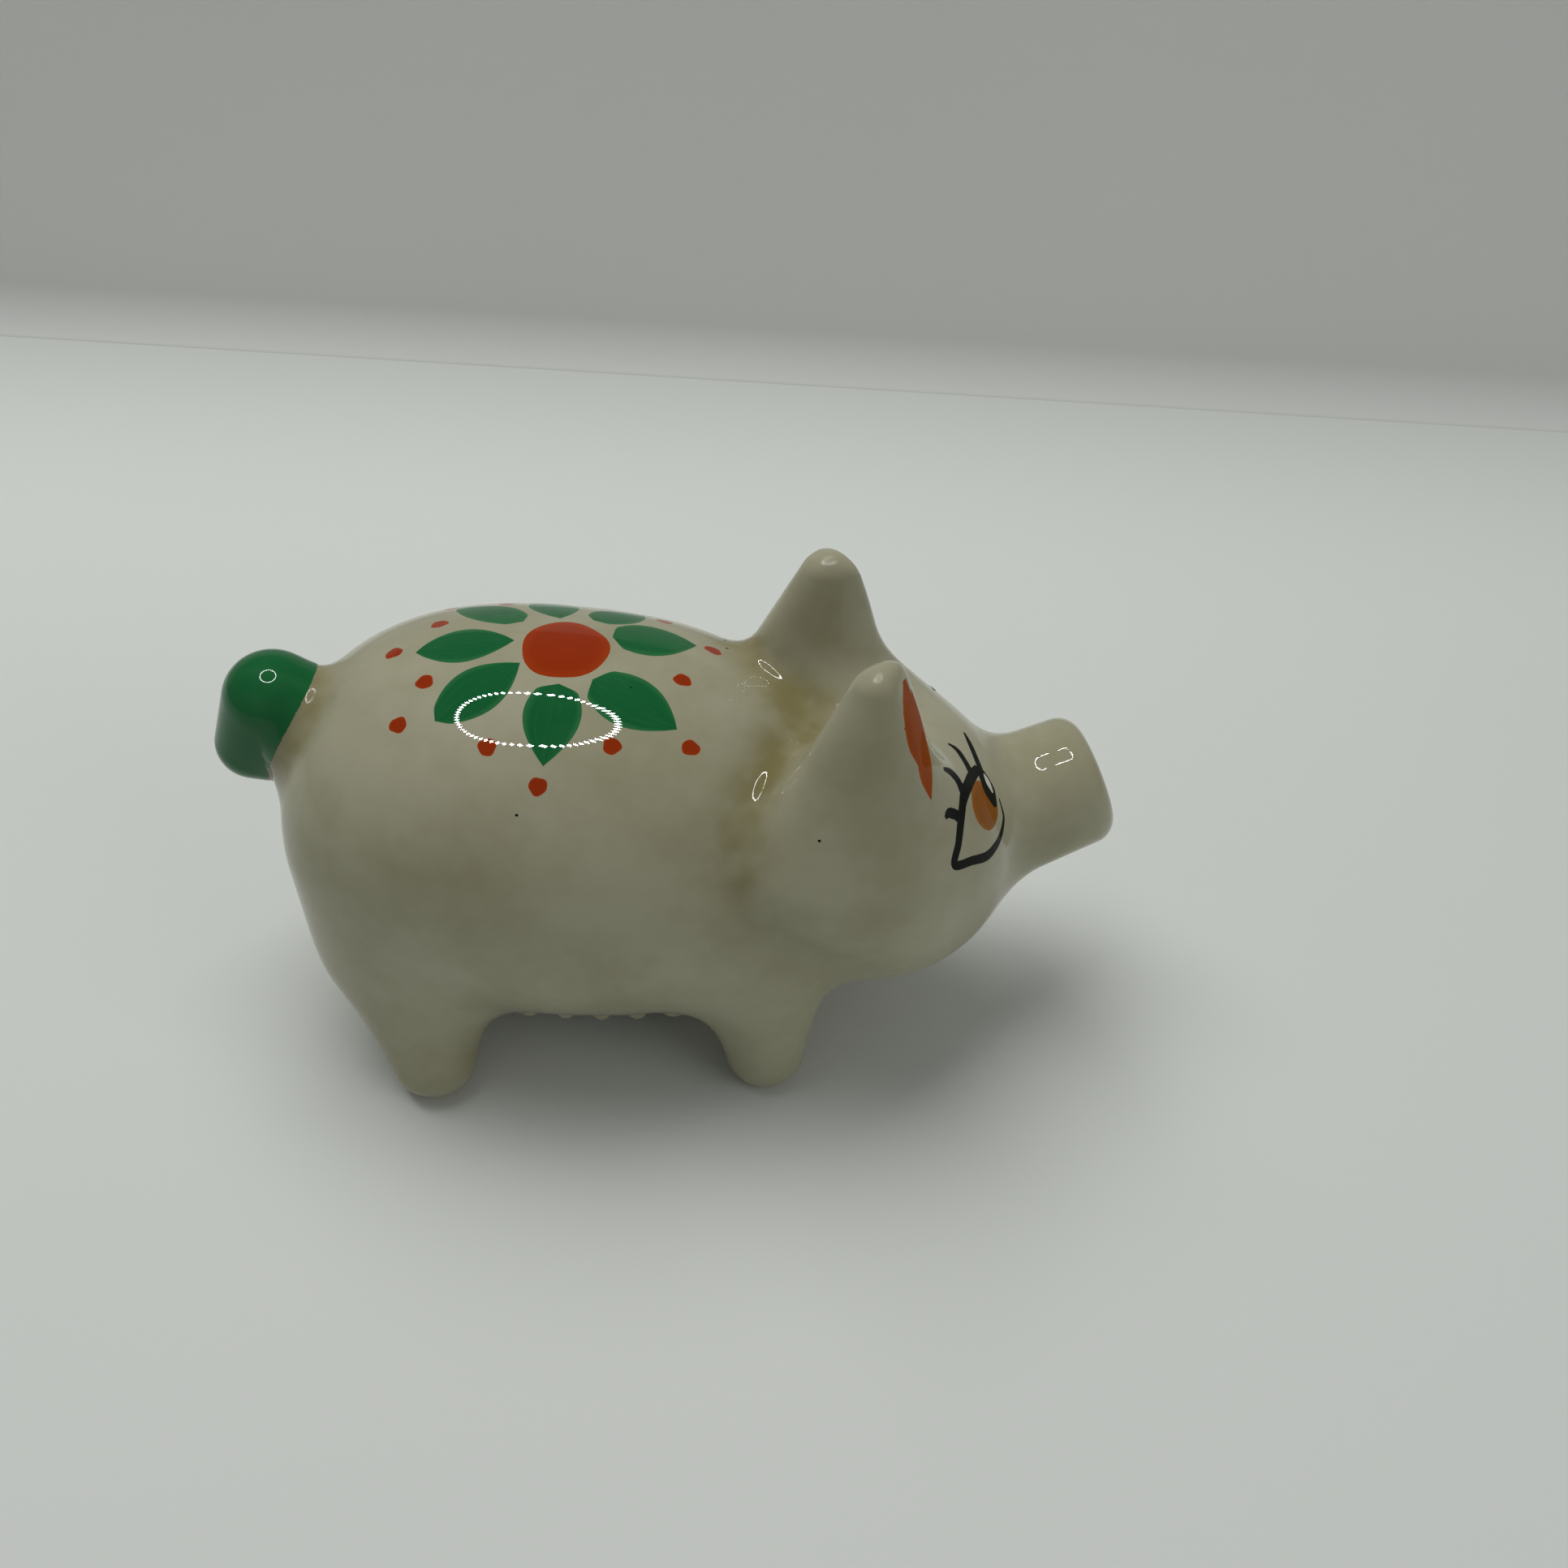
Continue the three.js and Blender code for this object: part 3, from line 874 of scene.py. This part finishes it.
def add_paint(name, films, material):
    """Joins films into one piece, all with the skin's own normals so that gloss runs on."""
    points, faces, data, start = [], [], {"along": [], "across": [], "rim": [], "top": []}, 0
    for film_points, film_faces, film_data in films:
        flip = -1 if is_inside_out(film_points, film_faces) else 1
        faces += [[start + i for i in face[::flip]] for face in film_faces]
        points.append(film_points)
        for label in data:
            data[label].append(film_data[label])
        start += len(film_points)
    points = np.concatenate(points)
    data = {label: np.concatenate(values) for label, values in data.items()}
    normals = outward(skin, points) * np.where(data.pop("top"), 1, -1)[:, None]
    return add_piece(name, points, faces, material, normals=normals, attributes=data)


print("paint closes itself")

# %% [markdown]
# ## The flower on the back
# One orange disc and eight green leaves, laid on by hand: no two leaves are the same
# length or quite where they should be. Each leaf is given by where it starts and ends
# round the disc and how wide it is where it is widest: start angle and radius, end angle
# and radius, half width, where along it is widest, and how blunt start and end are. Orange
# dots fill the gaps, each at an angle and a radius. A few dark specks that fell on the
# glaze in the kiln are dabs too, with their size as a third number.

# %% Flower
DISC = {"half": (4.6, 5.1), "wobble": 0.03}
LEAVES = [
    (176, 5.4, 184, 15.6, 3.0, 0.52, 0.8, 0.8),
    (-143, 5.3, -138, 16.0, 3.0, 0.52, 0.85, 0.6),
    (-89, 5.7, -92, 15.1, 3.0, 0.40, 0.5, 0.9),
    (-54, 5.8, -38, 15.7, 3.4, 0.42, 0.5, 0.85),
    (32, 5.4, 21, 14.3, 3.6, 0.42, 0.5, 0.85),
    (72, 6.8, 60, 14.0, 2.7, 0.45, 0.5, 0.8),
    (103, 6.2, 106, 15.2, 2.8, 0.50, 0.8, 0.7),
    (139, 6.8, 143, 16.8, 2.7, 0.45, 0.5, 0.7)]
DOTS = [(162, 14.9), (181, 18.1), (-157, 14.9), (-145, 19.2), (-115, 14.8), (-93, 17.2),
        (-64, 13.9), (-40, 18.1), (-12, 12.7), (20, 16.1), (50, 14.6), (80, 15.4), (108, 17.8),
        (126, 13.8), (142, 18.2)]
DOT_RADIUS = 0.95
LEAF_KNOTS = 14
SPECKS = [(35, 19.7, 0.2), (25, 18.2, 0.2), (-35, 9.0, 0.18), (-98, 20.3, 0.17), (-38, 34.6, 0.17)]


def polar(angle, radius):
    """The point of the back's chart at an angle from the nose and a distance from the disc."""
    return radius * math.cos(math.radians(angle)), radius * math.sin(math.radians(angle))


def leaf(start_angle, start, end_angle, end, half_width, widest, blunt_start, blunt_end):
    """Half width h sin(pi t^a)^e: a puts the widest place, e runs from blunt start to end."""
    t = np.linspace(0, 1, LEAF_KNOTS)
    a = math.log(0.5) / math.log(widest)
    e = blunt_start + (blunt_end - blunt_start) * t
    widths = half_width * np.sin(math.pi * t ** a).clip(0, 1) ** e
    knots = np.linspace(polar(start_angle, start), polar(end_angle, end), LEAF_KNOTS)
    return stroke(on_back, knots, widths, stations=44, ring=28)


def blot(half_u, half_v, wobble, phase):
    """Outline of a dab: an ellipse whose reach swells by wobble cos(3 q) and cos(5 q)."""
    def outline(q):
        swell = 1 + wobble * np.cos(3 * q + phase) + 0.6 * wobble * np.cos(5 * q - 2 * phase)
        return np.stack([half_u * np.cos(q) * swell, half_v * np.sin(q) * swell], 1)
    return outline


disc = dab(on_back, (0, 0), blot(*DISC["half"], DISC["wobble"], 0.7), 16, 72)
add_paint("flower_disc", [disc], orange)
add_paint("flower_leaves", [leaf(*numbers) for numbers in LEAVES], green)
dots = [dab(on_back, polar(*spot), blot(DOT_RADIUS, DOT_RADIUS, 0.06, index), 10, 28)
        for index, spot in enumerate(DOTS)]
add_paint("flower_dots", dots, orange)
specks = [dab(on_back, polar(angle, radius), blot(size, 0.8 * size, 0.1, angle), 8, 16)
          for angle, radius, size in SPECKS]
add_paint("kiln_specks", specks, black)

# %% [markdown]
# ## The eyes
# Each eye is a half-moon outline with a heavy lid and swept lashes, an ochre iris, a
# black pupil that hangs from the lid, and a white fleck. The same strokes are laid on
# both sides of the head, on two charts that mirror each other. Each stroke is the line
# that the brush takes and its half width along that line. A second and a third coat lie
# higher than the first, so that the black covers the iris and the fleck covers the black.

# %% Eyes
OUTLINE = [(-1.3, 3.6), (-3.1, 2.3), (-4.7, 0.9), (-6.3, -0.5), (-4.0, -1.9), (-2.0, -3.1),
           (-0.4, -3.5), (1.7, -3.5), (4.0, -2.8), (4.6, -1.8), (5.1, -0.8)]
OUTLINE_WIDTHS = (0.6, 0.58, 0.52, 0.5, 0.5, 0.55, 0.55, 0.45, 0.3, 0.2, 0.1)
LID = [(-3.0, 2.4), (-1.1, 3.6), (0.9, 3.9), (2.9, 3.9), (4.9, 3.7)]
LID_WIDTHS = (0.3, 0.7, 0.72, 0.7, 0.6)
LASHES = [[(10.1, 7.8), (8.5, 6.3), (6.7, 4.7), (5.2, 3.2), (4.2, 2.0)],
          [(4.3, 8.6), (4.5, 7.2), (3.8, 5.7), (2.9, 4.2)],
          [(-1.7, 7.3), (-0.8, 6.4), (-0.5, 5.3), (-0.8, 3.9)],
          [(-4.8, 3.9), (-4.1, 3.9), (-3.4, 3.2), (-3.0, 2.4)]]
LASH_WIDTHS = (0.2, 0.5, 0.56, 0.62, 0.5)
IRIS = {"centre": (1.7, 0.8), "half": (2.75, 2.65), "wobble": 0.02}
PUPIL = [(5.3, 3.9), (4.6, 2.3), (3.9, 0.9), (3.3, -0.7)]
FLECK = [(5.2, 2.7), (4.7, 1.7), (4.3, 0.5)]


def eye_lines(side):
    """Outline, lid and lashes of one eye. The left eye's inner lashes are shorter or missing."""
    chart = on_face(side)
    lines = [stroke(chart, OUTLINE, OUTLINE_WIDTHS, 110, 12),
             stroke(chart, LID, LID_WIDTHS, 40, 12)]
    for lash in LASHES if side < 0 else [LASHES[1][1:], *LASHES[2:]]:
        lines.append(stroke(chart, lash, LASH_WIDTHS[:len(lash)], 32, 12))
    return lines


charts = [on_face(side) for side in SIDES]
iris_outline = blot(*IRIS["half"], IRIS["wobble"], 1.0)
add_paint("irises", [dab(chart, IRIS["centre"], iris_outline, 12, 48) for chart in charts],
          ochre)
FILM["over"] = SECOND_COAT
add_paint("pupils", [stroke(chart, PUPIL, (0.6, 1.2, 1.5, 0.5), 36, 16) for chart in charts],
          black)
add_paint("eye_lines", [film for side in SIDES for film in eye_lines(side)], black)
FILM["over"] = THIRD_COAT
add_paint("eye_flecks", [stroke(chart, FLECK, (0.15, 0.6, 0.2), 20, 12) for chart in charts],
          white)
FILM["over"] = FIRST_COAT

# %% [markdown]
# ## The ears and the tail
# The flat face of each ear has two overlapping strokes of orange with a pale line of
# glaze between them. The tail was dipped: its coat follows the tail to the hollow where
# it meets the body, so the coat is netted from the same distances as the skin.

# %% Ear linings
UPPER_STROKE = [(7.4, 26.9), (8.3, 24.6), (9.4, 21.0), (10.0, 17.0)]
LOWER_STROKE = [(6.6, 25.0), (7.6, 21.0), (9.1, 17.0), (10.4, 13.8)]


def ear_lining(side):
    """Two leaf-like strokes side by side on an ear's face."""
    chart = on_ear(side)
    return [stroke(chart, UPPER_STROKE, (0.5, 1.5, 1.6, 0.1), 36, 16),
            stroke(chart, LOWER_STROKE, (0.1, 1.4, 1.8, 0.1), 36, 16)]


linings = [film for side in SIDES for film in ear_lining(side)]
add_paint("ear_linings", linings, ear_orange)

# %% Tail coat
COAT = {"over": 0.08, "under": 0.6, "cell": 0.33, "short_of_join": 0.7, "edge": 0.3}
STREAK_LENGTH = 12


def coat(points):
    """The layer from under the skin to just over it, where the tail is nearer than the body."""
    trunk, tail_part = body_side(points)
    middle, half_thickness = (COAT["over"] - COAT["under"]) / 2, (COAT["over"] + COAT["under"]) / 2
    layer = np.abs(skin(points) - middle) - half_thickness
    return carved(layer, (trunk - tail_part - COAT["short_of_join"]) / 2, COAT["edge"])


tail_low, tail_high = (drawn(corner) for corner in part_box("tail"))
vertices, faces = surface_net(coat, tail_low - 1, tail_high + 1, COAT["cell"])
vertices = evened(vertices, faces, coat, rounds=3, reach=0.1)
flat = {"along": vertices[:, 2] / STREAK_LENGTH, "across": vertices[:, 1] / STREAK_LENGTH,
        "rim": 0 * vertices[:, 0]}
on_top = np.where(skin(vertices) > -COAT["over"], 1, -1)[:, None]
add_piece("tail_coat", vertices, faces, green,
          normals=outward(skin, vertices) * on_top, attributes=flat)

# %% [markdown]
# ## The stopper
# A turned rubber plug closes the belly. It tapers, so that it tightens as it goes in,
# and has a grooved rim for a fingernail and a dished face with a raised ring.

# %% Stopper
def rubber():
    material, shader, place = finish_on("stopper_rubber", IOR=1.5, Coat_Weight=0.0)
    grain = cloud(place, 2600.0, 3.0)
    worn = ramp(cloud(place, 240.0), 0.45, 0.8)
    bump = place.node("ShaderNodeBump", {}, {"Height": grain, "Strength": 0.3, "Distance": 0.0001})
    feed(shader, Base_Color=blended(worn, colour(44, 40, 36), colour(74, 68, 60)),
         Roughness=0.55 + 0.2 * worn, Normal=bump)
    return material


def lathe(profile, centre, ring=96):
    """A profile of radius and height turned about a vertical line, capped at both ends."""
    profile = np.asarray(profile, float)
    q = np.arange(ring) * 2 * math.pi / ring
    body = np.stack([profile[:, :1] * np.cos(q) + centre[0], profile[:, :1] * np.sin(q) + centre[1],
                     profile[:, 1:] + 0 * q], -1).reshape(-1, 3)
    k = np.arange((len(profile) - 1) * ring).reshape(-1, ring)
    k_next = np.roll(k, -1, 1)
    side = np.stack([k, k_next, k_next + ring, k + ring], -1).reshape(-1, 4).tolist()
    rows = len(body)
    ends = np.array([(*centre, profile[0, 1]), (*centre, profile[-1, 1])])
    first, last = np.arange(ring), np.arange(ring) + rows - ring
    fans = np.stack([0 * first + rows, np.roll(first, -1), first], 1).tolist()
    fans += np.stack([0 * last + rows + 1, last, np.roll(last, -1)], 1).tolist()
    return np.vstack([body, ends]), side + fans


z0, z1 = stopper_low.z / MM, stopper_high.z / MM
r = stopper_radius
DISHED_FACE = [(1.2, z0 + 0.7), (2.6, z0 + 0.7), (2.8, z0 + 0.35), (3.2, z0 + 0.3), (3.5, z0 + 0.6),
               (5.6, z0 + 0.6), (6.2, z0 + 0.1), (6.6, z0), (r - 0.5, z0), (r - 0.15, z0 + 0.15)]
GROOVED_RIM = [(r, z0 + 0.5), (r, z0 + 0.9), (r - 0.35, z0 + 1.1), (r - 0.35, z0 + 1.4),
               (r - 0.05, z0 + 1.6), (r - 0.1, z0 + 2.2)]
INNER_END = [(r - 0.6, z1 - 0.5), (r - 0.75, z1 - 0.15), (r - 1.1, z1), (4.2, z1), (4.0, z1 - 0.2),
             (3.6, z1 - 0.3)]
points, faces = lathe(DISHED_FACE + GROOVED_RIM + INNER_END, (STOPPER_X, 0))
plug = add_piece("rubber_stopper", points, faces, rubber(), body="stopper")
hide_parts("stopper")

# %% [markdown]
# ## The table and the light
# The pig stands on a pale sheet that rises into a duller wall behind it. The light is a
# broad soft one overhead and a weak one from the front, with a ring of small lamps whose
# reflection shows on every round part of the glaze. The ring is only there to be
# reflected, and the two soft lamps are only there to light.

# %% Table and wall
ROOM = {"front": -900.0, "wall": 152.0, "bend": 8.0, "top": 115.0, "half_width": 1100.0,
        "skew": -2.2}


def sheet(name, profile, tones):
    """A sheet: a profile of y and z carried along x, turned a little about z."""
    material, shader, place = finish_on(name, Roughness=0.75, Specular_IOR_Level=0.2)
    feed(shader, Base_Color=blended(cloud(place, 6.0), *tones))
    x = np.array((-ROOM["half_width"], ROOM["half_width"]))
    profile = np.asarray(profile, float)
    grid = np.stack([np.broadcast_to(x, (len(profile), 2)), np.repeat(profile[:, :1], 2, 1),
                     np.repeat(profile[:, 1:], 2, 1)], -1).reshape(-1, 3)
    grid = grid @ turn(ROOM["skew"], 0).T
    k = 2 * np.arange(len(profile) - 1)
    mesh = bpy.data.meshes.new(name)
    mesh.from_pydata(placed(grid), [], np.stack([k, k + 1, k + 3, k + 2], 1).tolist())
    mesh.shade_smooth()
    mesh.materials.append(material)
    thing = bpy.data.objects.new(name, mesh)
    bpy.context.scene.collection.objects.link(thing)
    thing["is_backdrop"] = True


quarter = np.linspace(0, math.pi / 2, 12)
bend = list(zip(ROOM["wall"] + ROOM["bend"] * np.sin(quarter),
                ROOM["bend"] * (1 - np.cos(quarter))))
sheet("table", [(ROOM["front"], 0), (ROOM["wall"], 0)],
      (colour(222, 226, 220), colour(227, 230, 225)))
sheet("wall", [(ROOM["wall"], -1.0), *bend, (ROOM["wall"] + ROOM["bend"], ROOM["top"])],
      (colour(220, 221, 217), colour(227, 228, 224)))

# %% Light
LAMP = {"place": (-110.0, 135.0, 575.0), "size": 460.0, "power": 2.25}
FILL = {"place": (400.0, -240.0, 260.0), "size": 300.0, "power": 0.28}
RING = {"centre": (-36.0, 8.0, 330.0), "radius": 80.0, "lamps": 64, "long": 4.8, "wide": 3.0,
        "glow": 90.0}
DAYLIGHT = {"Color": (0.94, 0.97, 1.0, 1.0), "Strength": 0.165}


def soft_lamp(name, place, size, power):
    """A square soft lamp that faces the pig and is not itself reflected."""
    lamp = bpy.data.objects.new(name, bpy.data.lights.new(name, "AREA"))
    lamp.data.size, lamp.data.energy = size * MM, power
    lamp.matrix_world = Vector(place).to_track_quat("Z", "Y").to_matrix().to_4x4()
    lamp.matrix_world.translation = placed(place)
    lamp.visible_glossy = False
    bpy.context.scene.collection.objects.link(lamp)


soft_lamp("overhead", **LAMP)
soft_lamp("fill", **FILL)

world = bpy.data.worlds.new("room")
world.use_nodes = True
for socket, value in DAYLIGHT.items():
    world.node_tree.nodes["Background"].inputs[socket].default_value = value
bpy.context.scene.world = world


def ring_of_lamps():
    """Lamps round a circle at p = c + r (cos q, sin q), each a flat lozenge that faces down."""
    q = np.arange(RING["lamps"]) * 2 * math.pi / RING["lamps"]
    outward_line = np.stack([np.cos(q), np.sin(q), 0 * q], 1)
    sideways = np.stack([-np.sin(q), np.cos(q), 0 * q], 1)
    middle = outward_line * RING["radius"] + RING["centre"]
    long, wide = outward_line * RING["long"], sideways * RING["wide"]
    points = np.stack([middle + long, middle - wide, middle - long, middle + wide], 1)
    return points.reshape(-1, 3), np.arange(4 * RING["lamps"]).reshape(-1, 4)


glow = bpy.data.materials.new("lamp_glow")
glow.use_nodes = True
lamp_shader = glow.node_tree.nodes["Principled BSDF"]
lamp_shader.inputs["Base Color"].default_value = (0, 0, 0, 1)
lamp_shader.inputs["Emission Color"].default_value = (1, 1, 1, 1)
lamp_shader.inputs["Emission Strength"].default_value = RING["glow"]
points, faces = ring_of_lamps()
mesh = bpy.data.meshes.new("ring_of_lamps")
mesh.from_pydata(placed(points), [], faces.tolist())
mesh.materials.append(glow)
lamps = bpy.data.objects.new("ring_of_lamps", mesh)
bpy.context.scene.collection.objects.link(lamps)
lamps.visible_diffuse = lamps.visible_shadow = lamps.visible_camera = False
lamps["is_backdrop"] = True
bpy.context.scene.view_settings.view_transform = "Standard"
print("light is set")

# %% Measure and finish
low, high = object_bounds()
print("visual box in mm:", [round(1000 * side, 2) for side in high - low])
